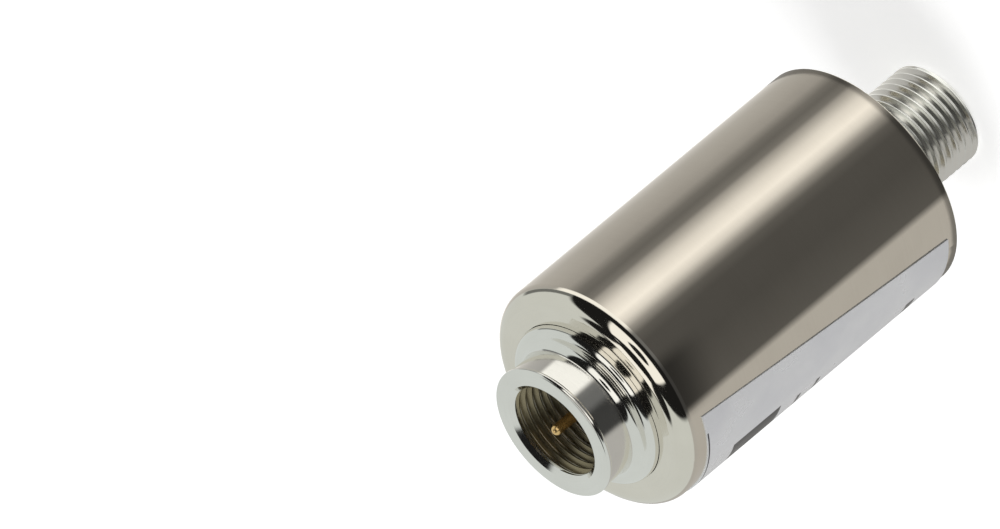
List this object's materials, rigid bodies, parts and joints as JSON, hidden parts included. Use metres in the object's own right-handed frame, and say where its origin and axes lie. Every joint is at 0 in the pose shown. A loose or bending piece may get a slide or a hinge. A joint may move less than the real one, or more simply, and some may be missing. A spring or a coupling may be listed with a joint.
{
  "type": "coax lightning arrestor",
  "caption": "In-line F-type coax lightning arrestor: plated cylindrical shell with a threaded jack at one end, a screw-on plug collar at the other and a gas tube inside.",
  "frame": {"origin": "centre of the jack's tip, on which the arrestor stands", "axes": "+Z along the common axis from the jack to the plug collar; -Y is the way the middle of the label faces"},
  "size_m": [0.0216, 0.0215, 0.048],
  "materials": {
    "shell_nickel": "satin nickel plating",
    "label_foil": "satin silver foil",
    "collar_plating": "bright tin plating",
    "bead_plastic": "matte",
    "pin_brass": "polished",
    "sleeve_plating": "satin tin plating",
    "nut_plating": "satin tin plating",
    "jack_plating": "bright tin plating",
    "tip_plastic": "satin",
    "contact_brass": "polished",
    "board_laminate": "satin",
    "copper": "satin",
    "ceramic": "satin",
    "cap_plating": "satin tin plating",
    "solder": "satin"
  },
  "bodies": {
    "root": {"shell": "shell_nickel", "label": "label_foil", "plug_collar": "collar_plating", "plug_insulator": "bead_plastic", "plug_pin": "pin_brass", "inner_sleeve": "sleeve_plating", "ring_nut": "nut_plating", "jack_barrel": "jack_plating", "tip_insulator": "tip_plastic", "rear_insulator": "bead_plastic", "jack_contact": "contact_brass", "circuit_board": "board_laminate", "line_track": "copper", "earth_track": "copper", "gas_tube_ceramic": "ceramic", "gas_tube_line_cap": "cap_plating", "gas_tube_earth_cap": "cap_plating", "earth_spring": "contact_brass", "solder_joints": "solder"}
  },
  "joints": []
}
